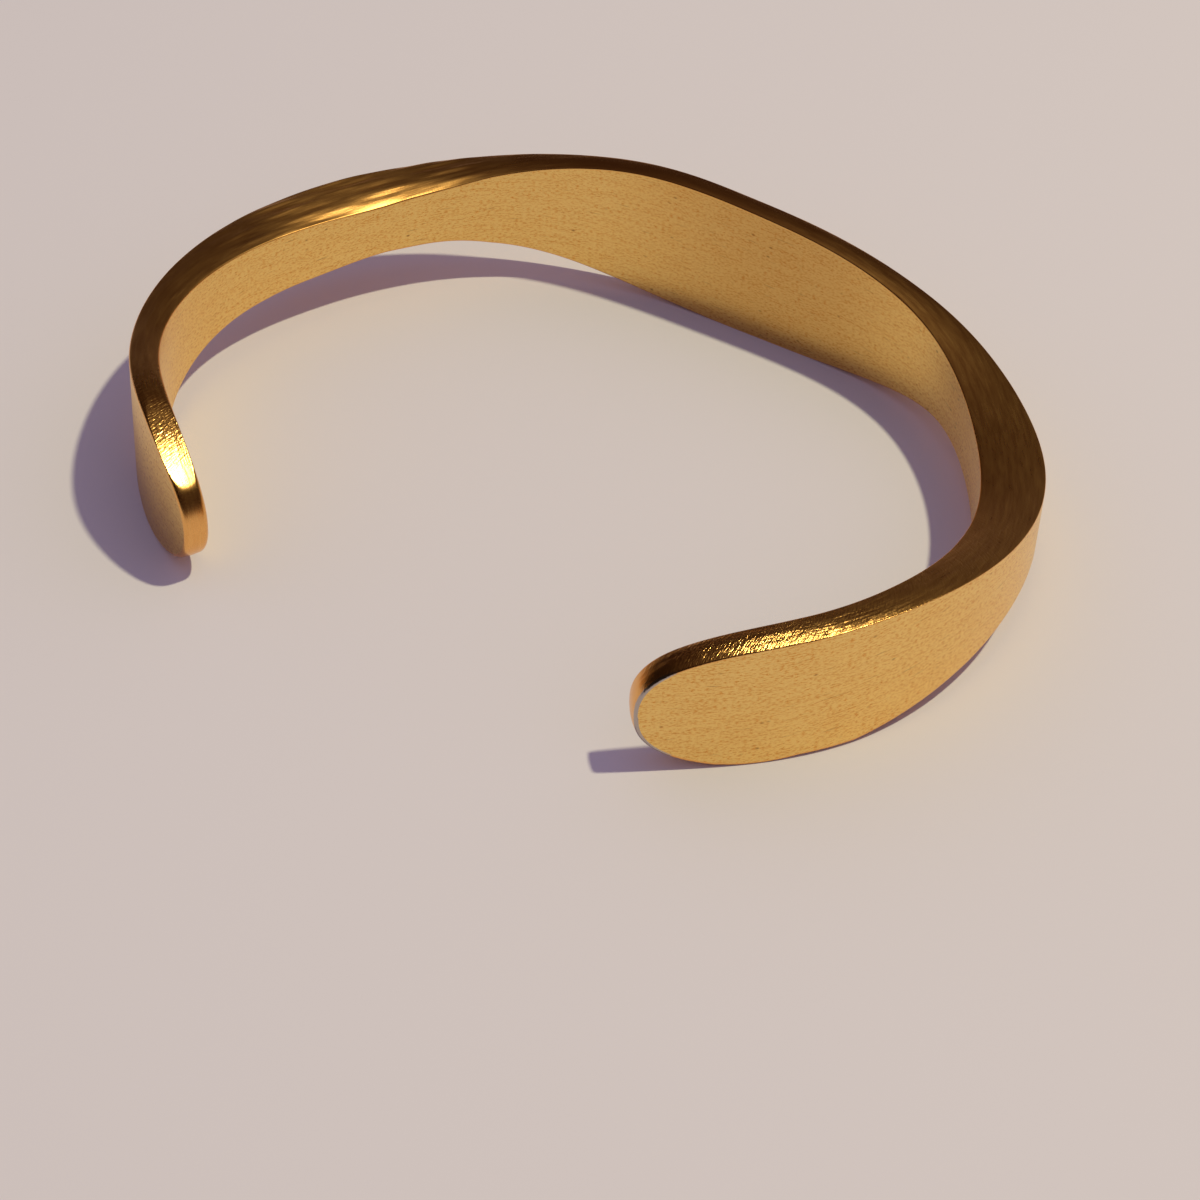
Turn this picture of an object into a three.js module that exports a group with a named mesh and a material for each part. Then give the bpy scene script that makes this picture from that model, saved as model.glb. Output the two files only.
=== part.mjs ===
// Open cuff bracelet, forged from one bar: a wide thin back, two narrow thick shoulders
// and two rounded paddles that face each other across the mouth.
// Millimetres, +Z up. The cuff lies on its lower edge, its mouth towards -Y.
import * as THREE from "three";

// Driving sizes
const HALF_LENGTH = 68.4; // along the inner face, from the middle of the back to a tip
const WIDTH = 10.7; // across the band at the middle of the back
const THICKNESS = 4.4; // through the band at the shoulders
const TIP_LENGTH = 11; // the last stretch of a paddle, where it rounds off
const TIP_FULLNESS = 2.25; // 2 makes the tip an ellipse, more makes it blunter
const EDGE_RADIUS = 0.35; // the broken edge between a broad face and the rim

// Cross-sections from the left tip over the back to the right tip.
// at: place, as a share of HALF_LENGTH        turn: degrees the band has turned since the back
// width: share of WIDTH                       thick: share of THICKNESS
// rise: height of the band's middle line above the table, as a share of WIDTH
const SECTIONS = [
  { at: -1.0, turn: -152, width: 1.0, thick: 0.41, rise: 0.405 },
  { at: -0.9, turn: -142, width: 0.99, thick: 0.46, rise: 0.46 },
  { at: -0.75, turn: -116.5, width: 0.72, thick: 0.49, rise: 0.49 },
  { at: -0.6, turn: -84.5, width: 0.5, thick: 0.735, rise: 0.55 },
  { at: -0.45, turn: -64.5, width: 0.46, thick: 0.985, rise: 0.55 },
  { at: -0.3, turn: -45.5, width: 0.535, thick: 0.71, rise: 0.58 },
  { at: -0.2, turn: -24, width: 0.75, thick: 0.455, rise: 0.57 },
  { at: -0.1, turn: -7.5, width: 0.955, thick: 0.4, rise: 0.53 },
  { at: 0.0, turn: 0, width: 1.0, thick: 0.39, rise: 0.495 },
  { at: 0.1, turn: 2.5, width: 0.945, thick: 0.42, rise: 0.47 },
  { at: 0.2, turn: 15.5, width: 0.77, thick: 0.48, rise: 0.45 },
  { at: 0.3, turn: 39.5, width: 0.535, thick: 0.71, rise: 0.44 },
  { at: 0.45, turn: 59.5, width: 0.455, thick: 1.01, rise: 0.405 },
  { at: 0.6, turn: 80.5, width: 0.545, thick: 0.8, rise: 0.49 },
  { at: 0.75, turn: 109, width: 0.81, thick: 0.54, rise: 0.51 },
  { at: 0.9, turn: 137, width: 0.935, thick: 0.485, rise: 0.44 },
  { at: 1.0, turn: 139, width: 0.935, thick: 0.44, rise: 0.44 },
];

// Fineness of the mesh
const BODY_STEPS = 96; // stations between the two rounded tips
const TIP_STEPS = 10; // stations on each rounded tip
const EDGE_STEPS = 3; // facets round each broken edge
const PATH_STEPS = 800; // steps that add up the plan curve

// A smooth curve through the values of one column: the natural cubic spline, whose second
// derivatives solve a three-band system and are zero at both ends.
function splineThrough(column) {
  const x = SECTIONS.map((section) => section.at);
  const y = SECTIONS.map((section) => section[column]);
  const last = x.length - 1;
  const bend = new Array(last + 1).fill(0);
  const carry = new Array(last + 1).fill(0);
  for (let i = 1; i < last; i++) {
    const before = x[i] - x[i - 1];
    const after = x[i + 1] - x[i];
    const change = (y[i + 1] - y[i]) / after - (y[i] - y[i - 1]) / before;
    const pivot = 2 * (before + after) - before * carry[i - 1];
    carry[i] = after / pivot;
    bend[i] = (6 * change - before * bend[i - 1]) / pivot;
  }
  for (let i = last - 1; i > 0; i--) {
    bend[i] -= carry[i] * bend[i + 1];
  }
  return (at) => {
    let i = 0;
    while (i < last - 1 && at > x[i + 1]) i++;
    const span = x[i + 1] - x[i];
    const b = (at - x[i]) / span;
    const a = 1 - b;
    const sag = ((a ** 3 - a) * bend[i] + (b ** 3 - b) * bend[i + 1]) * (span ** 2 / 6);
    return a * y[i] + b * y[i + 1] + sag;
  };
}

const turnAt = splineThrough("turn");
const widthAt = splineThrough("width");
const thickAt = splineThrough("thick");
const riseAt = splineThrough("rise");

// The inner face seen from above: starts at the middle of the back heading along X and
// adds up short straight steps, each one turned clockwise as far as the table says.
function planPoint(at) {
  const steps = Math.max(1, Math.round(Math.abs(at) * PATH_STEPS));
  const step = (at / steps) * HALF_LENGTH;
  const point = new THREE.Vector2(0, 0);
  for (let k = 0; k < steps; k++) {
    const heading = headingAt(((k + 0.5) / steps) * at);
    point.x += step * Math.cos(heading);
    point.y += step * Math.sin(heading);
  }
  return point;
}

function headingAt(at) {
  return -THREE.MathUtils.degToRad(turnAt(at));
}

// Places along the band, each with the part of the full half width left there (1 on the
// body, falling to 0 at a tip along a superellipse).
function stations() {
  const tipShare = TIP_LENGTH / HALF_LENGTH;
  const bodyEnd = 1 - tipShare;
  const tip = [];
  for (let k = 1; k <= TIP_STEPS; k++) {
    const angle = ((k / TIP_STEPS) * Math.PI) / 2;
    const along = Math.sin(angle) ** (2 / TIP_FULLNESS);
    const left = k === TIP_STEPS ? 0 : Math.cos(angle) ** (2 / TIP_FULLNESS);
    tip.push({ at: bodyEnd + tipShare * along, left });
  }
  const body = [];
  for (let k = 0; k <= BODY_STEPS; k++) {
    body.push({ at: bodyEnd * ((2 * k) / BODY_STEPS - 1), left: 1 });
  }
  const mirrored = tip.map(({ at, left }) => ({ at: -at, left })).reverse();
  return [...mirrored, ...body, ...tip];
}

// The outline of the broad face laid out flat: distance along the band, half width, and the
// outward direction of the outline in that flat picture.
function outline() {
  const points = stations().map(({ at, left }) => ({
    at,
    along: at * HALF_LENGTH,
    half: (widthAt(at) * WIDTH * left) / 2,
  }));
  const last = points.length - 1;
  return points.map((point, i) => {
    if (i === 0 || i === last) {
      return { ...point, outAlong: Math.sign(point.along), outHalf: 0 };
    }
    const runAlong = points[i + 1].along - points[i - 1].along;
    const runHalf = points[i + 1].half - points[i - 1].half;
    const run = Math.hypot(runAlong, runHalf);
    return { ...point, outAlong: -runHalf / run, outHalf: runAlong / run };
  });
}

// The rim's profile through the thickness: a quarter round at the inner face and one at the
// outer face. depth is measured from the inner face, inset is how far the profile has
// drawn in from the outline.
function rimProfile(thickness) {
  const radius = Math.min(EDGE_RADIUS, thickness * 0.45);
  const inner = [];
  for (let k = 0; k <= EDGE_STEPS; k++) {
    const angle = ((k / EDGE_STEPS) * Math.PI) / 2;
    inner.push({ depth: radius * (1 - Math.cos(angle)), inset: radius * (1 - Math.sin(angle)) });
  }
  const outer = inner.map(({ depth, inset }) => ({ depth: thickness - depth, inset })).reverse();
  return [...inner, ...outer];
}

// The lower edge is dressed flat where it meets the table.
function dressed(height) {
  return Math.max(height, 0);
}

// One point of the rim: up is 1 on the upper rim and -1 on the lower one.
function rimPoint(point, spot, up) {
  const heading = headingAt(point.at);
  const slip = -spot.inset * point.outAlong;
  const x = point.plan.x + slip * Math.cos(heading) - spot.depth * Math.sin(heading);
  const y = point.plan.y + slip * Math.sin(heading) + spot.depth * Math.cos(heading);
  const half = point.half - spot.inset * point.outHalf;
  return [x, y, dressed(riseAt(point.at) * WIDTH + up * half)];
}

// The whole band as one closed surface: an upper and a lower rim that share their points at
// both tips, and the two broad faces stretched between them.
function bandGeometry() {
  const line = outline().map((point) => ({ ...point, plan: planPoint(point.at) }));
  const last = line.length - 1;
  const rings = 2 * (EDGE_STEPS + 1);
  const corners = [];
  const number = { 1: [], "-1": [] };
  line.forEach((point, i) => {
    const profile = rimProfile(thickAt(point.at) * THICKNESS);
    for (const up of [1, -1]) {
      const shared = up === -1 && (i === 0 || i === last);
      number[up].push(
        profile.map((spot, j) => {
          if (shared) return number[1][i][j];
          corners.push(rimPoint(point, spot, up));
          return corners.length - 1;
        }),
      );
    }
  });

  const triangles = [];
  const quad = (a, b, c, d) => {
    if (a !== b) triangles.push([a, b, c]);
    if (c !== d) triangles.push([a, c, d]);
  };
  const top = number[1];
  const low = number[-1];
  for (let i = 0; i < last; i++) {
    for (let j = 0; j < rings - 1; j++) {
      quad(top[i][j], top[i + 1][j], top[i + 1][j + 1], top[i][j + 1]);
      quad(low[i][j + 1], low[i + 1][j + 1], low[i + 1][j], low[i][j]);
    }
    const outer = rings - 1;
    quad(top[i][0], low[i][0], low[i + 1][0], top[i + 1][0]);
    quad(low[i][outer], top[i][outer], top[i + 1][outer], low[i + 1][outer]);
  }

  const geometry = new THREE.BufferGeometry();
  geometry.setAttribute("position", new THREE.Float32BufferAttribute(corners.flat(), 3));
  geometry.setIndex(triangles.flat());
  geometry.computeVertexNormals();
  return geometry;
}

// Plain gold-toned brass, brushed on the broad faces.
function goldTone() {
  return new THREE.MeshStandardMaterial({ color: 0xc8923f, roughness: 0.35, metalness: 1 });
}

// The band stands on the table with its box centred on the origin.
function cuff() {
  const band = new THREE.Mesh(bandGeometry(), goldTone());
  band.name = "cuff_band";
  band.geometry.computeBoundingBox();
  const middle = band.geometry.boundingBox.getCenter(new THREE.Vector3());
  band.position.set(-middle.x, -middle.y, 0);
  const group = new THREE.Group();
  group.add(band);
  return group;
}

export default cuff();
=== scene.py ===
# %% [markdown]
# # An open cuff bracelet
# The real thing is one bar of metal, forged flat and wide in the middle of its back and at its
# two ends, left narrow and thick at the shoulders between them, and bent round the wrist. Its
# broad faces are brushed along the band and its rims are polished.
#
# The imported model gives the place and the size. Everything below is made in the same frame,
# in metres, with the cuff lying on its lower edge and its mouth towards -Y.

# %% The fixed frame
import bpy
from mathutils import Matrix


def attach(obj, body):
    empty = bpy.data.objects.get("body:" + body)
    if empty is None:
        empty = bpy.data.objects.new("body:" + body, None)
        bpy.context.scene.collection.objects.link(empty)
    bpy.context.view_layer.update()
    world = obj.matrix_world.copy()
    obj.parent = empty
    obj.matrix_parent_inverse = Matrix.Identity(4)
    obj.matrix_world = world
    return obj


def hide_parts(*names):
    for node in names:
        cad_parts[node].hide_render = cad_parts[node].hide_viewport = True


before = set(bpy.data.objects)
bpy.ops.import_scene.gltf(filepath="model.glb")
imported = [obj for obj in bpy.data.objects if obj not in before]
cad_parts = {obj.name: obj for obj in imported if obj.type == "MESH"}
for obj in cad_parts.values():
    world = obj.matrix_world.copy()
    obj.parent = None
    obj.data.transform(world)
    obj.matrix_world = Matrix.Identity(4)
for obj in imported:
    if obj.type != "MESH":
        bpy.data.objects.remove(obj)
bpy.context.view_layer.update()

# %% Tools
import math

import bpy
import numpy as np
from mathutils import Matrix, Vector

MM = 0.001  # the lengths below are in millimetres


# %% [markdown]
# ## The camera
# A long lens stands about 20 cm away, looks down at 40 degrees and from 29 degrees to the
# right of the cuff's own axis. The horizon is tipped by three degrees, as in a picture taken by
# hand. Building the camera's three directions first keeps the tip separate from the aim.

# %% Camera
LENS, SENSOR = 90.0, 36.0  # focal length and width of the sensor
AZIMUTH, ELEVATION, TIP = (math.radians(a) for a in (29.42, 39.91, 3.29))
AIM = Vector((7.78, -10.08, 0.0)) * MM
DISTANCE = 200.5 * MM

back = Vector(
    (
        math.sin(AZIMUTH) * math.cos(ELEVATION),
        -math.cos(AZIMUTH) * math.cos(ELEVATION),
        math.sin(ELEVATION),
    )
)
level = Vector((math.cos(AZIMUTH), math.sin(AZIMUTH), 0.0))
upright = back.cross(level)
right = math.cos(TIP) * level + math.sin(TIP) * upright
up = math.cos(TIP) * upright - math.sin(TIP) * level

camera = bpy.data.objects.new("camera", bpy.data.cameras.new("camera"))
camera.data.lens = LENS
camera.data.sensor_width = SENSOR
camera.data.clip_start = 10 * MM  # well in front of the cuff, seen so small and so near
camera.matrix_world = Matrix.Translation(AIM + back * DISTANCE) @ Matrix(
    (right, up, back)
).transposed().to_4x4()
bpy.context.scene.collection.objects.link(camera)
bpy.context.scene.camera = camera
print("camera at", [round(c, 4) for c in camera.location])


# %% [markdown]
# ## The band's sizes
# The cuff is one long section that changes as it goes round. A short table says how it changes:
# how far the band has turned, how wide and thick it is and how high its middle line runs. A
# smooth curve through each column gives every place in between. This is how a smith's pattern
# works too: a few stations are gauged and the metal is faired between them.

# %% Sizes
HALF_LENGTH = 68.4  # along the inner face, from the middle of the back to a tip
WIDTH = 10.7  # across the band at the middle of the back
THICKNESS = 4.4  # through the band at the shoulders
TIP_LENGTH = 11.0  # the last stretch of a paddle, where it rounds off
LEFT_FULLNESS, RIGHT_FULLNESS = 2.25, 2.4  # 2 makes a tip an ellipse, more makes it blunter

# at, turn in degrees, width, thickness, height of the middle line (shares of the sizes above)
SECTIONS = np.array(
    [
        (-1.00, -152, 1.000, 0.410, 0.405),
        (-0.90, -142, 0.990, 0.460, 0.460),
        (-0.75, -116.5, 0.720, 0.490, 0.490),
        (-0.60, -84.5, 0.500, 0.735, 0.550),
        (-0.45, -64.5, 0.460, 0.985, 0.550),
        (-0.30, -45.5, 0.535, 0.710, 0.580),
        (-0.20, -24, 0.750, 0.455, 0.570),
        (-0.10, -7.5, 0.955, 0.400, 0.530),
        (0.00, 0, 1.000, 0.390, 0.495),
        (0.10, 2.5, 0.945, 0.420, 0.470),
        (0.20, 15.5, 0.770, 0.480, 0.450),
        (0.30, 39.5, 0.535, 0.710, 0.440),
        (0.45, 59.5, 0.455, 1.010, 0.405),
        (0.60, 80.5, 0.545, 0.800, 0.490),
        (0.75, 109, 0.810, 0.540, 0.510),
        (0.90, 137, 0.935, 0.485, 0.440),
        (1.00, 139, 0.935, 0.440, 0.440),
    ]
)


def fair(column, at):
    """The natural cubic spline through one column of SECTIONS, read at the places in `at`.
    Its second derivatives solve one equation per inner station and are zero at both ends."""
    x, y = SECTIONS[:, 0], SECTIONS[:, column]
    gap = np.diff(x)
    slope = np.diff(y) / gap
    inner = np.diag(2 * (gap[:-1] + gap[1:])) + np.diag(gap[1:-1], 1) + np.diag(gap[1:-1], -1)
    bend = np.zeros(len(x))
    bend[1:-1] = np.linalg.solve(inner, 6 * np.diff(slope))
    i = np.clip(np.searchsorted(x, at) - 1, 0, len(x) - 2)
    b = (at - x[i]) / gap[i]
    a = 1 - b
    sag = ((a**3 - a) * bend[i] + (b**3 - b) * bend[i + 1]) * gap[i] ** 2 / 6
    return a * y[i] + b * y[i + 1] + sag


# %% Stations along the band
BODY_STEPS = 520
TIP_STEPS = 56

tip_share = TIP_LENGTH / HALF_LENGTH


def rounded_tip(fullness):
    """Places on one tip and the part of the full half width left there, on the superellipse
    x^n + y^n = 1, whose points are x = sin(a)^(2/n) and y = cos(a)^(2/n)."""
    a = np.linspace(0, np.pi / 2, TIP_STEPS + 1)[1:]
    left = np.cos(a) ** (2 / fullness)
    left[-1] = 0
    return 1 - tip_share + tip_share * np.sin(a) ** (2 / fullness), left


left_tip, right_tip = rounded_tip(LEFT_FULLNESS), rounded_tip(RIGHT_FULLNESS)
body_at = np.linspace(tip_share - 1, 1 - tip_share, BODY_STEPS + 1)
at = np.concatenate([-left_tip[0][::-1], body_at, right_tip[0]])
left = np.concatenate([left_tip[1][::-1], np.ones(BODY_STEPS + 1), right_tip[1]])

along = at * HALF_LENGTH
heading = -np.radians(fair(1, at))
half_width = fair(2, at) * WIDTH / 2 * left
thickness = fair(3, at) * THICKNESS
middle_height = fair(4, at) * WIDTH
print("stations:", len(at))


# %% [markdown]
# ## The plan and the outline
# Seen from above, the inner face is a curve whose heading is known everywhere, so its points
# are the running sum of short steps in that heading. Laid out flat, the broad face has an
# outline: half the width at each place. Where the outline turns at the tips, the rim turns with
# it, so the outward direction of the outline is needed as well.

# %% Plan of the inner face
fine_at = np.linspace(-1, 1, 8001)
fine_heading = -np.radians(fair(1, fine_at))
step = HALF_LENGTH * (fine_at[1] - fine_at[0])


def running_sum(rate):
    """Adds up a rate along fine_at by the rule of trapezia, zero at the middle of the back."""
    total = np.concatenate([[0], np.cumsum((rate[1:] + rate[:-1]) / 2)]) * step
    return total - total[len(total) // 2]


plan_x = np.interp(at, fine_at, running_sum(np.cos(fine_heading)))
plan_y = np.interp(at, fine_at, running_sum(np.sin(fine_heading)))

# %% Outward direction of the flat outline
run_along = np.gradient(along)
run_half = np.gradient(half_width)
run_along[[0, -1]] = 0
run = np.hypot(run_along, run_half)
out_along, out_half = -run_half / run, run_along / run
print("widest half width: %.2f mm" % half_width.max())


# %% [markdown]
# ## The rim
# The rim was filed by hand and then buffed, so no two places are alike. It is a little crowned.
# Its outer edge is crisp over the right shoulder, taken down a little on the right paddle and
# rubbed rounder towards both tips. Its inner edge is sharp at the back, but on the left
# shoulder the smith took it down to a bevel and left low ridges, and on the left tip the file
# ran off in a short flat. A Bevel modifier would give every edge one radius, so the profile
# through the thickness is drawn here: a quarter round, the crown and another quarter round.
# Depth is measured from the inner face. Inset says how far the metal has drawn in from the
# outline. A second short table says how the profile changes along the band.

# %% Rim profile
EDGE_STEPS = 6  # facets round each broken edge
CROWN_STEPS = 22  # facets across the crown
BEVEL_DEPTH = 1.5  # how far through the rim the bevel starts
LOWER_EDGE = 0.24  # radius of the lower outer edge

# at, radius of the inner edge, drop of the inner bevel, radius of the outer edge, drop of the
# outer bevel, crown, roughness left by the buff, file marks left
DRESSING = np.array(
    [
        (-1.00, 0.45, 0.00, 0.22, 0.00, 0.10, 0.27, 0.0),
        (-0.9850, 0.42, 0.00, 0.22, 0.00, 0.10, 0.22, 0.0),
        (-0.9835, 0.40, 0.00, 0.22, 0.00, 0.10, 0.28, 0.1),
        (-0.96, 0.30, 0.00, 0.20, 0.00, 0.12, 0.26, 0.4),
        (-0.93, 0.24, 0.00, 0.20, 0.00, 0.16, 0.20, 0.5),
        (-0.90, 0.20, 0.00, 0.18, 0.00, 0.16, 0.22, 0.7),
        (-0.86, 0.18, 0.00, 0.16, 0.00, 0.14, 0.28, 0.7),
        (-0.80, 0.10, 0.00, 0.12, 0.00, 0.14, 0.31, 0.1),
        (-0.55, 0.07, 0.02, 0.10, 0.00, 0.12, 0.32, 0.0),
        (-0.51, 0.07, 0.10, 0.10, 0.02, 0.12, 0.40, 0.1),
        (-0.46, 0.07, 0.24, 0.10, 0.02, 0.12, 0.43, 0.2),
        (-0.40, 0.08, 0.44, 0.10, 0.00, 0.12, 0.42, 0.2),
        (-0.35, 0.08, 0.34, 0.10, 0.00, 0.14, 0.36, 0.1),
        (-0.28, 0.08, 0.06, 0.10, 0.00, 0.14, 0.29, 0.0),
        (-0.15, 0.08, 0.00, 0.10, 0.00, 0.08, 0.20, 0.0),
        (0.15, 0.08, 0.00, 0.10, 0.00, 0.12, 0.23, 0.0),
        (0.35, 0.08, 0.00, 0.10, 0.00, 0.12, 0.25, 0.0),
        (0.48, 0.10, 0.00, 0.06, 0.00, 0.14, 0.30, 0.0),
        (0.62, 0.10, 0.00, 0.05, 0.00, 0.12, 0.30, 0.3),
        (0.74, 0.10, 0.00, 0.05, 0.00, 0.08, 0.30, 0.8),
        (0.80, 0.10, 0.00, 0.06, 0.04, 0.10, 0.28, 1.2),
        (0.85, 0.10, 0.00, 0.07, 0.13, 0.10, 0.26, 1.5),
        (0.885, 0.10, 0.02, 0.08, 0.11, 0.11, 0.23, 1.2),
        (0.92, 0.11, 0.03, 0.09, 0.09, 0.13, 0.21, 1.0),
        (0.945, 0.12, 0.03, 0.10, 0.08, 0.14, 0.20, 1.0),
        (0.97, 0.12, 0.00, 0.16, 0.00, 0.12, 0.21, 0.6),
        (1.00, 0.14, 0.00, 0.18, 0.00, 0.10, 0.24, 0.0),
    ]
)
inner_r, inner_bevel, outer_r, outer_bevel, crown, buffed, filed = (
    np.interp(at, DRESSING[:, 0], column)[:, None] for column in DRESSING.T[1:]
)


def rise_between(value, low, high):
    """0 below low, 1 above high and a smooth S between them: 3 s squared less 2 s cubed."""
    s = np.clip((value - low) / (high - low), 0, 1)
    return s * s * (3 - 2 * s)


# %% Ridges and facet left by the file
RIDGE_PITCH, FINE_PITCH = 1.25, 0.61  # across the rim
RIDGE_HEIGHT, REWORKED_HEIGHT = 0.006, 0.036  # everywhere, and what the worked shoulder adds
RIDGE_DRIFT, FINE_DRIFT = 2.3, -5.1  # pitches that the crests move in half the band
SWELL = 37.0  # how fast the ridges swell and fade along the band


def hand_marks(deep):
    """Low ridges along the rim, as a sum of two waves across it whose crests drift as they run,
    times a slow wave along it. They are at their highest on the shoulder that was worked over
    again."""
    a = at[:, None]
    reworked = rise_between(a, -0.62, -0.50) * (1 - rise_between(a, -0.34, -0.24))
    wave = np.sin(2 * np.pi * (deep / RIDGE_PITCH + RIDGE_DRIFT * a))
    wave = wave + 0.5 * np.sin(2 * np.pi * (deep / FINE_PITCH + FINE_DRIFT * a + 0.3))
    swelling = np.sin(SWELL * a + 0.4 * deep)
    return (RIDGE_HEIGHT + REWORKED_HEIGHT * reworked) * wave * swelling


# The facet on the left tip: its end, along the band and above the middle line, how steep it is
# there, how much flatter it gets with each millimetre back, and how much it is dished
FACET_ALONG, FACET_HEIGHT = -67.3, 2.78
FACET_SLOPE, FACET_BEND = 0.60, 0.0726
FACET_HOLLOW = 0.04


def facet_cut(deep):
    """How far the facet on the left tip has cut in: the height of the outline over the facet's
    arc, h + s d - b d squared / 2 at a distance d from its end, taken square to the outline,
    and less towards both faces."""
    from_end = along - FACET_ALONG
    arc = FACET_HEIGHT + FACET_SLOPE * from_end - FACET_BEND * from_end**2 / 2
    above = np.where(along < TIP_LENGTH - HALF_LENGTH, (half_width - arc) * out_half, -1)
    hollow = FACET_HOLLOW * (2 * deep / thickness[:, None] - 1) ** 2
    return above[:, None] - hollow


# %% The rim drawn out
def rim_profile(outer, outer_drop):
    """Depth and inset of the rim, one row per station. A round of radius r has depth
    r(1 - cos a) and inset r(1 - sin a). The crown adds an inset that grows with the square
    of the distance from the middle of the thickness, and each bevel one that grows with the
    square of the distance towards that face."""
    t = thickness[:, None]
    a = np.linspace(0, np.pi / 2, EDGE_STEPS + 1)
    s = np.linspace(0, 1, CROWN_STEPS + 1)[1:-1]
    deep = np.hstack(
        [
            inner_r * (1 - np.cos(a)),
            inner_r + s * (t - inner_r - outer),
            t - outer * (1 - np.cos(a[::-1])),
        ]
    )
    drawn = np.hstack([inner_r * (1 - np.sin(a)), 0 * t * s, outer * (1 - np.sin(a[::-1]))])
    drawn = drawn + crown * ((2 * deep / t - 1) ** 2 - 0.5) + hand_marks(deep)
    drawn = drawn + inner_bevel * np.clip(1 - deep / BEVEL_DEPTH, 0, 1) ** 2
    return deep, drawn + outer_drop * np.clip(1 - (t - deep) / BEVEL_DEPTH, 0, 1) ** 2


upper_rim = rim_profile(outer_r, outer_bevel)
upper_rim = upper_rim[0], np.maximum(upper_rim[1], facet_cut(upper_rim[0]))
lower_rim = rim_profile(np.full_like(outer_r, LOWER_EDGE), 0)
RIM = upper_rim[0].shape[1]
print("samples through the rim:", RIM)


# %% [markdown]
# ## The whole section
# Going once round the band gives the upper rim from inside to outside, down the outer face,
# the lower rim back to the inside, and up the inner face. The first and last columns of a face
# stand close to its edge, so that the smooth shading of the round doesn't bleed into the flat.

# %% Section grid
FACE_STEPS = 24
BY_THE_EDGE = 0.985  # where the first and last columns of a face stand
across = np.linspace(-1, 1, FACE_STEPS + 1)[1:-1]  # across a broad face, -1 low and 1 high
across = np.concatenate([[-BY_THE_EDGE], across, [BY_THE_EDGE]])
FACE = len(across)


def section_grid():
    """Three arrays of one row per station and one column per point round the section: side (1 on
    the upper rim, -1 on the lower one, in between on the faces), depth and inset. On a face
    the depth is constant and the inset runs straight from one rim's edge to the other's."""
    rows = len(at)
    ones = np.ones((rows, RIM))
    down = np.broadcast_to(across[::-1], (rows, FACE))
    high = (1 + down) / 2
    outer_inset = high * upper_rim[1][:, -1:] + (1 - high) * lower_rim[1][:, -1:]
    inner_inset = (1 - high) * upper_rim[1][:, :1] + high * lower_rim[1][:, :1]
    side = np.hstack([ones, down, -ones, -down])
    deep = np.hstack(
        [upper_rim[0], thickness[:, None] + 0 * down, lower_rim[0][:, ::-1], 0 * down]
    )
    drawn = np.hstack([upper_rim[1], outer_inset, lower_rim[1][:, ::-1], inner_inset])
    return side, deep, drawn


side, depth, inset = section_grid()
lateral = side * (half_width[:, None] - inset * out_half[:, None])

# %% The low edge of the right paddle
# It hangs a little lower than the middle line says, almost down to the floor
SAG, CLEARANCE = 0.55, 0.05
sag = SAG * rise_between(at, 0.50, 0.66) * (1 - rise_between(at, 0.84, 0.94))
sag = np.minimum(sag, np.maximum(middle_height - half_width - CLEARANCE, 0))
lateral = lateral - sag[:, None] * (1 - side) / 2


# %% Points in space
def band_points():
    """A point is the plan point, moved outwards by its depth and along the band by the share of
    its inset that points there, at the middle height plus its distance from the middle line."""
    slip = -inset * out_along[:, None]
    h = heading[:, None]
    x = plan_x[:, None] + slip * np.cos(h) - depth * np.sin(h)
    y = plan_y[:, None] + slip * np.sin(h) + depth * np.cos(h)
    return np.stack([x, y, np.maximum(middle_height[:, None] + lateral, 0)], axis=-1)


points = band_points()
points[..., :2] -= (points[..., :2].min((0, 1)) + points[..., :2].max((0, 1))) / 2
COLUMNS = points.shape[1]
print("grid:", points.shape)


# %% [markdown]
# ## From grid to mesh
# The grid closes round the section by itself. At each tip the band has no width left, so the
# columns of a face meet in one point and the lower rim meets the upper one. Numbering those
# points once closes the mesh without any merging afterwards.

# %% Numbering the points
OUTER = slice(RIM, RIM + FACE)
LOWER = slice(RIM + FACE, 2 * RIM + FACE)
INNER = slice(2 * RIM + FACE, COLUMNS)
number = np.arange(len(at) * COLUMNS).reshape(len(at), COLUMNS)
for end in (0, -1):
    number[end, LOWER] = number[end, :RIM][::-1]
    number[end, OUTER] = number[end, RIM - 1]
    number[end, INNER] = number[end, 0]

# %% Faces
ring = np.arange(COLUMNS)
after = np.roll(ring, -1)
row = np.arange(len(at) - 1)[:, None]
shape = (len(at) - 1, COLUMNS)
corner_row = np.stack([np.broadcast_to(r, shape) for r in (row, row, row + 1, row + 1)], -1)
corner_column = np.stack([np.broadcast_to(c, shape) for c in (after, ring, ring, after)], -1)
corner_row, corner_column = corner_row.reshape(-1, 4), corner_column.reshape(-1, 4)
corner_number = number[corner_row, corner_column]
on_rim = (ring < RIM - 1) | ((ring >= RIM + FACE) & (ring < 2 * RIM + FACE - 1))
on_rim = np.broadcast_to(on_rim, shape).reshape(-1)

# A corner that repeats its neighbour is left out, which turns a square at a tip into a triangle
keep = corner_number != np.roll(corner_number, 1, axis=1)
real = keep.sum(axis=1) > 2
keep &= real[:, None]
corners_of_face = keep.sum(axis=1)[real]
used, vertex_of_corner = np.unique(corner_number[keep], return_inverse=True)
corner_row, corner_column = corner_row[keep], corner_column[keep]
rim_of_corner = np.repeat(on_rim[real], corners_of_face)
print("vertices:", len(used), "faces:", len(corners_of_face))

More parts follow.
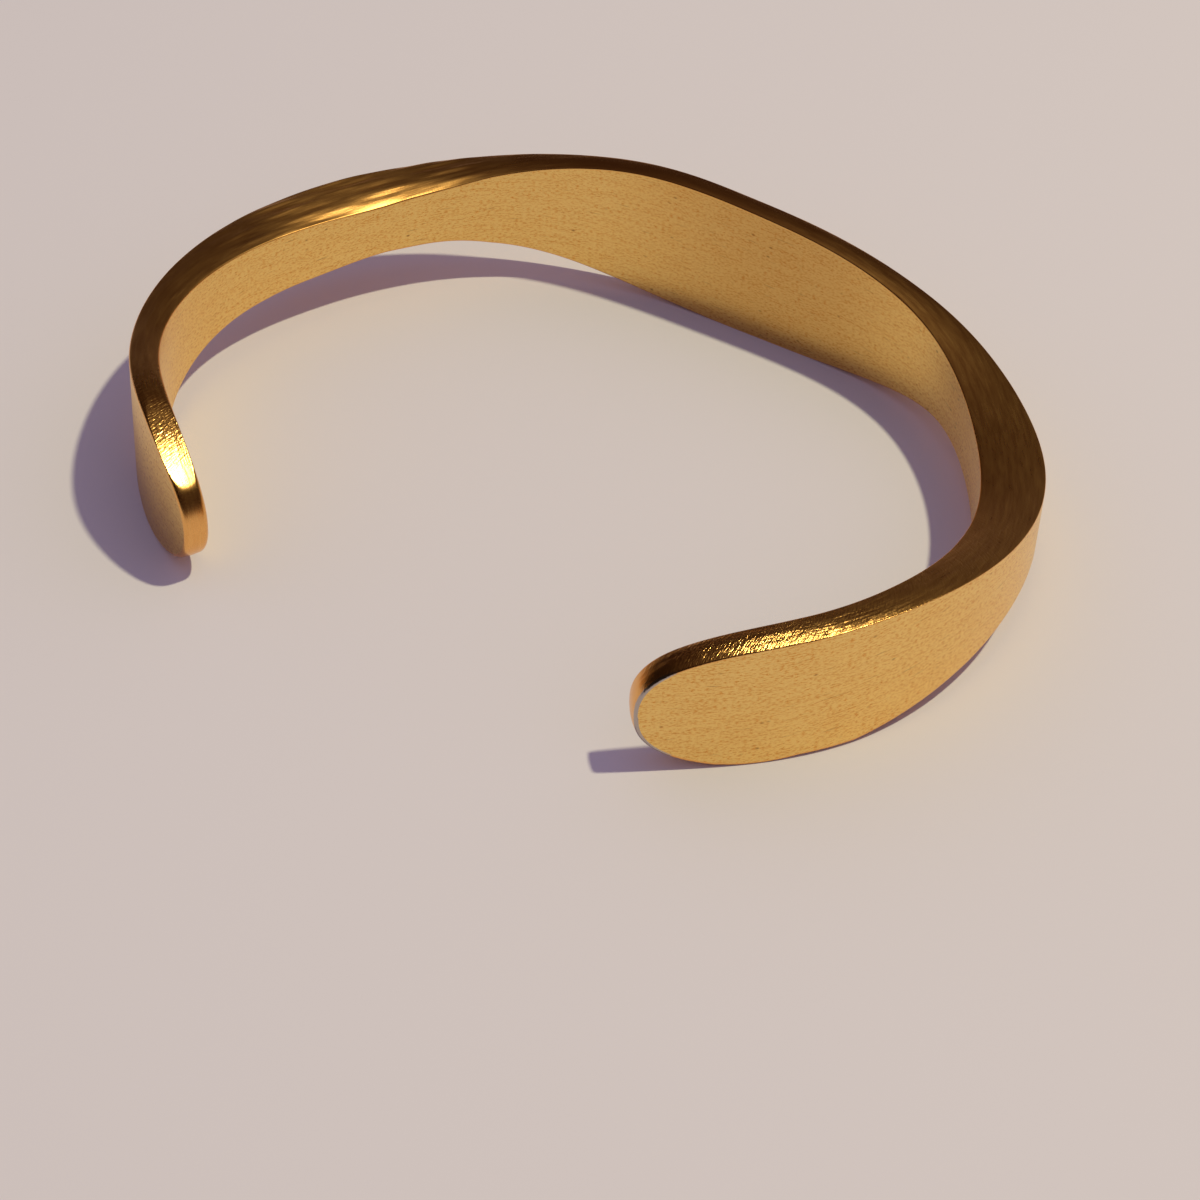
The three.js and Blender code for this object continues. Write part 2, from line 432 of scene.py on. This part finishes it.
# %% The mesh
mesh = bpy.data.meshes.new("forged_cuff")
mesh.vertices.add(len(used))
mesh.vertices.foreach_set("co", (points.reshape(-1, 3)[used] * MM).ravel())
mesh.loops.add(len(vertex_of_corner))
mesh.loops.foreach_set("vertex_index", vertex_of_corner.ravel())
mesh.polygons.add(len(corners_of_face))
mesh.polygons.foreach_set("loop_start", np.cumsum(corners_of_face) - corners_of_face)
mesh.update(calc_edges=True)
mesh.validate()
mesh.shade_smooth()
cuff = bpy.data.objects.new("forged_cuff", mesh)
bpy.context.scene.collection.objects.link(cuff)

# %% Which way the faces point
# A closed mesh has a volume above zero only if its faces point outwards: the sum over its
# triangles of the box product of their corners, divided by six
mesh.calc_loop_triangles()
triangles = np.empty(3 * len(mesh.loop_triangles), dtype=np.int32)
mesh.loop_triangles.foreach_get("vertices", triangles)
first, second, third = np.moveaxis(points.reshape(-1, 3)[used][triangles.reshape(-1, 3)], 1, 0)
volume = np.sum(np.cross(first, second) * third) / 6
print("triangles: %d, volume: %.0f cubic millimetres" % (len(first), volume))


# %% [markdown]
# ## Where a pattern lies on the band
# Brush lines run along the band however it bends, so their pattern can't be laid in space. Each
# corner of the mesh gets its place on the band in millimetres as a UV map: on a broad face the
# distances along the band and from its middle line, on the rim the distance along the outline
# and the depth. Each surface has its own stretch of the second number, so that no two share a
# line. Four attributes then say how far each place is worn, buffed and filed, and how much
# painted shade it carries, which lets one material change along the band without a seam.

# %% Coordinates in millimetres
INNER_FACE_AT, LOWER_RIM_AT = 40.0, 80.0
SLANT = (0.48, -0.90)  # lean of the file's strokes at the left and the right tip, per depth

outline_length = np.concatenate([[0], np.cumsum(np.hypot(np.diff(along), np.diff(half_width)))])
outline_length -= outline_length[len(at) // 2]
corner_depth = depth[corner_row, corner_column]
corner_slant = np.interp(at, (-1, 1), SLANT)[corner_row]
face_v = lateral[corner_row, corner_column] + INNER_FACE_AT * (corner_column >= INNER.start)
rim_u = outline_length[corner_row] + corner_slant * corner_depth
rim_v = corner_depth + LOWER_RIM_AT * (corner_column >= RIM)
uv = np.column_stack(
    [
        np.where(rim_of_corner, rim_u, along[corner_row]),
        np.where(rim_of_corner, rim_v, face_v),
    ]
)
mesh.uv_layers.new(name="band_mm").data.foreach_set("uv", uv.ravel())
print("outline length: %.1f mm" % np.ptp(outline_length))

# %% Wear and painted shade
# The right tip is worn along its outer edge. The inner face at the back and the lower part of
# the left paddle's outer face are painted darker: painted shade where they mirror the shadowed
# floor.
to_outer_edge = thickness[:, None] - depth
near_rim = np.concatenate([np.ones(RIM), 0 * across, np.ones(RIM), 0 * across])
worn = rise_between(at, 0.950, 0.985)[:, None] * near_rim
worn = worn * (1 - rise_between(to_outer_edge, 0.04, 0.34))
# Painted shade: the inner face from the back towards the right, and the left paddle's outer face,
# darker towards its bottom
painted_shade = np.zeros(points.shape[:2])
painted_shade[:, INNER] = (rise_between(at, -0.20, 0.06) * (1 - rise_between(at, 0.10, 0.28)))[:, None]
painted_shade[:, OUTER] = (1 - rise_between(at, -0.86, -0.70))[:, None] * (1 - side[:, OUTER]) / 2

# %% Attributes
attributes = {"worn": worn, "buffed": buffed, "filed": filed, "painted_shade": painted_shade}
for name, value in attributes.items():
    value = np.broadcast_to(value, points.shape[:2]).reshape(-1)[used]
    mesh.attributes.new(name, "FLOAT", "POINT").data.foreach_set("value", value)
    print(name, "from %.2f to %.2f" % (value.min(), value.max()))


# %% [markdown]
# ## Materials
# The colours are sRGB hex values, as a paint chart gives them. The shaders work in linear
# light, so one function turns them. Another adds a node with its settings and links, which
# keeps each material readable as a list of what it is made of.

# %% Colour and node helpers
def linear(hex_colour):
    """An sRGB hex colour as linear light: s / 12.92 in the darks, else a power of 2.4."""
    s = np.array([int(hex_colour[i : i + 2], 16) for i in (1, 3, 5)]) / 255
    return tuple(np.where(s <= 0.04045, s / 12.92, ((s + 0.055) / 1.055) ** 2.4)) + (1.0,)


def add(tree, kind, settings=None, inputs=None):
    """Adds one node and gives it back. An input takes a constant, another node's output, or a
    whole node, which stands for its first output."""
    node = tree.nodes.new(kind)
    for name, value in (settings or {}).items():
        setattr(node, name, value)
    for name, value in (inputs or {}).items():
        if isinstance(value, bpy.types.Node):
            value = value.outputs[0]
        if isinstance(value, bpy.types.NodeSocket):
            tree.links.new(value, node.inputs[name])
        else:
            node.inputs[name].default_value = value
    return node


def empty_material(name):
    """A material with no nodes yet, and its node tree."""
    material = bpy.data.materials.new(name)
    material.use_nodes = True
    material.node_tree.nodes.clear()
    return material, material.node_tree


def stretched_noise(tree, where, length, pitch, detail, roughness):
    """Noise whose grain is `length` mm along the band and `pitch` mm across it: the place on the
    band is divided by those two before the noise reads it."""
    scale = (1 / length, 1 / pitch, 1)
    place = add(tree, "ShaderNodeMapping", inputs={"Vector": where, "Scale": scale})
    inputs = {"Vector": place, "Scale": 1.0, "Detail": detail, "Roughness": roughness}
    return add(tree, "ShaderNodeTexNoise", inputs=inputs)


# %% [markdown]
# ## The broad faces: satin brass
# A fine abrasive belt drawn along the band leaves short scratches a tenth of a millimetre apart,
# streaks between them, a few long strays and, where the belt didn't reach, a dark pit. The eye
# sees a soft sheen, stretched across the scratches, over a fine grain that runs with the band.
# A picture of brushed metal would repeat itself round the cuff. Noise squeezed across the band
# and stretched along it doesn't, and each kind of mark gets its own size.

# %% Grain of the satin
# The finest scratches are too fine to show, so they are drawn somewhat coarser
SCRATCH_LENGTH, SCRATCH_PITCH = 0.30, 0.10
STREAK_LENGTH, STREAK_PITCH = 3.0, 0.24
STRAY_LENGTH, STRAY_PITCH = 2.6, 0.12
CLOUD_LENGTH, CLOUD_PITCH = 4.0, 2.2  # soft changes of tone
STREAK_SHARE = 0.22  # of the grain, and the scratches make the rest

satin, tree = empty_material("satin_brushed_brass")
band = add(tree, "ShaderNodeUVMap", {"uv_map": "band_mm"})
scratches = stretched_noise(tree, band, SCRATCH_LENGTH, SCRATCH_PITCH, 2.0, 0.6)
streaks = stretched_noise(tree, band, STREAK_LENGTH, STREAK_PITCH, 2.0, 0.5)
strays = stretched_noise(tree, band, STRAY_LENGTH, STRAY_PITCH, 1.0, 0.5)
cloud = stretched_noise(tree, band, CLOUD_LENGTH, CLOUD_PITCH, 2.0, 0.5)
scratch_part = add(
    tree, "ShaderNodeMath", {"operation": "MULTIPLY"}, {0: scratches, 1: 1 - STREAK_SHARE}
)
grain = add(
    tree,
    "ShaderNodeMath",
    {"operation": "MULTIPLY_ADD"},
    {0: streaks, 1: STREAK_SHARE, 2: scratch_part},
)

# %% Stray scratches and pits
# Pits are the hearts of widely spaced cells, drawn out along the band, and only some are deep.
# A stray scratch is a crest of its noise.
PIT_LENGTH, PIT_PITCH = 1.6, 0.8

pit_at = add(
    tree,
    "ShaderNodeMapping",
    inputs={"Vector": band, "Scale": (1 / PIT_LENGTH, 1 / PIT_PITCH, 1)},
)
cells = add(tree, "ShaderNodeTexVoronoi", inputs={"Vector": pit_at, "Scale": 1.0})
cell_number = add(tree, "ShaderNodeSeparateColor", inputs={"Color": cells.outputs["Color"]})
heart = add(
    tree,
    "ShaderNodeMapRange",
    inputs={
        "Value": cells.outputs["Distance"],
        "From Min": 0.03,
        "From Max": 0.12,
        "To Min": 0.8,
        "To Max": 0.0,
    },
)
chosen = add(
    tree,
    "ShaderNodeMapRange",
    inputs={"Value": cell_number.outputs["Red"], "From Min": 0.30, "From Max": 0.8},
)
stray = add(
    tree,
    "ShaderNodeMapRange",
    inputs={"Value": strays, "From Min": 0.70, "From Max": 0.80, "To Max": 0.6},
)
pits = add(tree, "ShaderNodeMath", {"operation": "MULTIPLY"}, {0: heart, 1: chosen})
marks = add(tree, "ShaderNodeMath", {"operation": "MAXIMUM"}, {0: pits, 1: stray})

# %% Satin brass
MARK_DEPTH = -0.15  # of a pit or stray scratch, against a grain of 1
SATIN_RELIEF = 0.02  # millimetres from the lowest to the highest of the grain

lit = add(tree, "ShaderNodeMapRange", inputs={"Value": grain, "From Min": 0.35, "From Max": 0.53})
# Painted shade: on the inner face at the back and low on the left paddle, where the shadowed floor
# is mirrored, the colour is multiplied darker
painted_shade_fac = add(tree, "ShaderNodeAttribute", {"attribute_name": "painted_shade"}).outputs["Fac"]
colour = linear("#E0A04C")
for blend, factor, tint in (
    ("MIX", lit, "#FFDA88"),
    ("MULTIPLY", cloud, "#FFFAF2"),
    ("MULTIPLY", painted_shade_fac, "#E4DCD8"),
    ("MIX", marks, "#8A5A2C"),
):
    settings = {"data_type": "RGBA", "blend_type": blend}
    inputs = {"Factor": factor, 6: colour, 7: linear(tint)}
    colour = add(tree, "ShaderNodeMix", settings, inputs).outputs[2]
dull = add(
    tree,
    "ShaderNodeMapRange",
    inputs={
        "Value": scratches,
        "From Min": 0.3,
        "From Max": 0.7,
        "To Min": 0.26,
        "To Max": 0.40,
    },
)
height = add(
    tree, "ShaderNodeMath", {"operation": "MULTIPLY_ADD"}, {0: marks, 1: MARK_DEPTH, 2: grain}
)
relief = add(
    tree,
    "ShaderNodeBump",
    inputs={"Height": height, "Strength": 0.5, "Distance": SATIN_RELIEF * MM},
)
along_band = add(tree, "ShaderNodeTangent", {"direction_type": "UV_MAP", "uv_map": "band_mm"})
surface = add(
    tree,
    "ShaderNodeBsdfPrincipled",
    inputs={
        "Base Color": colour,
        "Metallic": 1.0,
        "Roughness": dull,
        "Anisotropic": 0.6,
        "Anisotropic Rotation": 0.25,
        "Tangent": along_band,
        "Normal": relief,
    },
)
add(tree, "ShaderNodeOutputMaterial", inputs={"Surface": surface})
mesh.materials.append(satin)
print(satin.name, len(tree.nodes), "nodes")


# %% [markdown]
# ## The rims: polished brass
# A file drawn across the rim, then a buff along it, leaves a mirror with a memory: the strokes of
# the file near the tips, where it turned the corner, and longer waves from the buff all along.
# The eye sees a dark mirror of the room, brown rather than yellow, broken into glints wherever
# the metal tips towards the lamp. Strokes and waves are only hundredths of a millimetre high,
# too low for the mesh, so they are bumps. Where the right tip rubs, its edge is worn grey.

# %% Marks of the file and the buff
STROKE_LENGTH, STROKE_PITCH = 0.65, 0.15  # across the rim and along it
WAVE_LENGTH, WAVE_PITCH = 2.2, 0.30  # along the rim and across it
STROKE_RELIEF, WAVE_RELIEF = 0.05, 0.03  # millimetres
BUFFED_WAVES = 0.6  # strength of the waves where there are no file marks

polished, tree = empty_material("polished_brass")
band = add(tree, "ShaderNodeUVMap", {"uv_map": "band_mm"})
strokes = stretched_noise(tree, band, STROKE_PITCH, STROKE_LENGTH, 2.0, 0.6)
waves = stretched_noise(tree, band, WAVE_LENGTH, WAVE_PITCH, 4.0, 0.65)
file_marks, wear, buff = (
    add(tree, "ShaderNodeAttribute", {"attribute_name": name}).outputs["Fac"]
    for name in ("filed", "worn", "buffed")
)
stroke_height = add(tree, "ShaderNodeMath", {"operation": "MULTIPLY"}, {0: strokes, 1: file_marks})
stroke_relief = add(
    tree, "ShaderNodeBump", inputs={"Height": stroke_height, "Distance": STROKE_RELIEF * MM}
)
wave_share = add(tree, "ShaderNodeMath", {"operation": "ADD"}, {0: file_marks, 1: BUFFED_WAVES})
wave_height = add(tree, "ShaderNodeMath", {"operation": "MULTIPLY"}, {0: waves, 1: wave_share})
wave_relief = add(
    tree,
    "ShaderNodeBump",
    inputs={"Height": wave_height, "Distance": WAVE_RELIEF * MM, "Normal": stroke_relief},
)

# %% Polished brass
toned = add(
    tree,
    "ShaderNodeMix",
    {"data_type": "RGBA"},
    {"Factor": waves, 6: linear("#E6A45A"), 7: linear("#FFC878")},
)
wear_height = add(
    tree, "ShaderNodeMath", {"operation": "MULTIPLY_ADD"}, {0: strokes, 1: 0.9, 2: wear}
)
ragged = add(
    tree, "ShaderNodeMapRange", inputs={"Value": wear_height, "From Min": 0.75, "From Max": 1.05}
)
any_wear = add(tree, "ShaderNodeMath", {"operation": "GREATER_THAN"}, {0: wear, 1: 0.001})
rubbed = add(tree, "ShaderNodeMath", {"operation": "MULTIPLY"}, {0: ragged, 1: any_wear})
colour = add(
    tree,
    "ShaderNodeMix",
    {"data_type": "RGBA"},
    {"Factor": rubbed, 6: toned.outputs[2], 7: linear("#B9AEA6")},
)
unevenly = add(
    tree,
    "ShaderNodeMapRange",
    inputs={
        "Value": waves,
        "From Min": 0.3,
        "From Max": 0.7,
        "To Min": 0.9,
        "To Max": 1.12,
    },
)
gloss = add(tree, "ShaderNodeMath", {"operation": "MULTIPLY"}, {0: buff, 1: unevenly})
surface = add(
    tree,
    "ShaderNodeBsdfPrincipled",
    inputs={
        "Base Color": colour.outputs[2],
        "Metallic": 1.0,
        "Roughness": gloss,
        "Normal": wave_relief,
    },
)
add(tree, "ShaderNodeOutputMaterial", inputs={"Surface": surface})
mesh.materials.append(polished)
mesh.polygons.foreach_set("material_index", on_rim[real].astype(np.int32))
print(polished.name, len(tree.nodes), "nodes")

# %% The piece stands for the solid
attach(cuff, "root")
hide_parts("cuff_band")


# %% [markdown]
# ## The floor
# The cuff lies on plain pale paper. It is matt and nearly white, and it matters twice: it takes
# the shadow, and every upright face of the metal mirrors it. One large square is enough.

# %% Floor
REACH = 3.0  # metres, so that the floor's end is lost to the eye
floor_mesh = bpy.data.meshes.new("paper_floor")
floor_mesh.from_pydata(
    [(-REACH, -REACH, 0), (REACH, -REACH, 0), (REACH, REACH, 0), (-REACH, REACH, 0)],
    [],
    [(0, 1, 2, 3)],
)
floor = bpy.data.objects.new("paper_floor", floor_mesh)
bpy.context.scene.collection.objects.link(floor)
paper, tree = empty_material("matt_paper")
sheet = add(
    tree,
    "ShaderNodeBsdfPrincipled",
    inputs={"Base Color": linear("#DDD8D2"), "Roughness": 0.9, "Specular IOR Level": 0.1},
)
add(tree, "ShaderNodeOutputMaterial", inputs={"Surface": sheet.outputs["BSDF"]})
floor_mesh.materials.append(paper)


# %% [markdown]
# ## Light
# One small warm lamp high on the right gives the crisp shadows and the glints. The room fills
# the shadows with a soft violet light. The polished rims mirror a dim room instead: pale low
# down, where the table goes on, dark brown above, and lighter on its right side. A mirror shows
# what it faces, so the dark of the rims comes from the room and not from their own colour.

# %% Lamp
LAMP_WAY = Vector((0.364, 0.219, 1.0)).normalized()
LAMP_DISTANCE, LAMP_SIZE, LAMP_POWER = 0.9, 0.042, 4.85  # metres, metres, watts
lamp = bpy.data.objects.new("warm_lamp", bpy.data.lights.new("warm_lamp", "AREA"))
lamp.data.shape = "DISK"
lamp.data.size = LAMP_SIZE
lamp.data.energy = LAMP_POWER
lamp.data.color = linear("#FFFAD8")[:3]
lamp.location = LAMP_WAY * LAMP_DISTANCE
lamp.rotation_euler = LAMP_WAY.to_track_quat("Z", "Y").to_euler()
bpy.context.scene.collection.objects.link(lamp)

# %% Room
FILL = (0.31, 0.255, 0.40, 1.0)
# Height as the share of a way up that a mirrored ray looks, and the light that it finds there
WALLS = (
    (0.0, (0.40, 0.30, 0.24, 1.0)),
    (0.15, (0.060, 0.036, 0.028, 1.0)),
    (0.30, (0.024, 0.012, 0.010, 1.0)),
    (0.70, (0.028, 0.014, 0.011, 1.0)),
    (1.0, (0.070, 0.044, 0.036, 1.0)),
)
LIGHT_SIDE = (math.cos(AZIMUTH + 0.5), math.sin(AZIMUTH + 0.5) - 0.25, 0.25)

world = bpy.data.worlds.new("dim_room")
world.use_nodes = True
tree = world.node_tree
tree.nodes.clear()
way = add(tree, "ShaderNodeTexCoord").outputs["Generated"]
split_way = add(tree, "ShaderNodeSeparateXYZ", inputs={0: way})
walls = add(tree, "ShaderNodeValToRGB", inputs={0: split_way.outputs["Z"]})
stops = walls.color_ramp.elements
stops[0].position, stops[0].color = WALLS[0]
stops[1].position, stops[1].color = WALLS[-1]
for position, light in WALLS[1:-1]:
    stops.new(position).color = light
to_the_light = add(
    tree, "ShaderNodeVectorMath", {"operation": "DOT_PRODUCT"}, {0: way, 1: LIGHT_SIDE}
)
side_light = add(
    tree,
    "ShaderNodeMapRange",
    {"interpolation_type": "SMOOTHSTEP"},
    {
        "Value": to_the_light.outputs["Value"],
        "From Min": -0.6,
        "From Max": 0.4,
        "To Min": 0.35,
        "To Max": 1.2,
    },
)
mirrored = add(tree, "ShaderNodeBackground", inputs={"Color": walls, "Strength": side_light})
fill = add(tree, "ShaderNodeBackground", inputs={"Color": FILL, "Strength": 1.0})
rays = add(tree, "ShaderNodeLightPath")
room = add(
    tree,
    "ShaderNodeMixShader",
    inputs={0: rays.outputs["Is Glossy Ray"], 1: fill, 2: mirrored},
)
add(tree, "ShaderNodeOutputWorld", inputs={0: room})
bpy.context.scene.world = world
world.cycles.sampling_method = "NONE"  # the fill is even, so no part of it needs more rays
print("room:", len(tree.nodes), "nodes")

# %% How the picture is shown
# Standard keeps the colours as they are worked out, without a film's soft contrast
bpy.context.scene.view_settings.view_transform = "Standard"
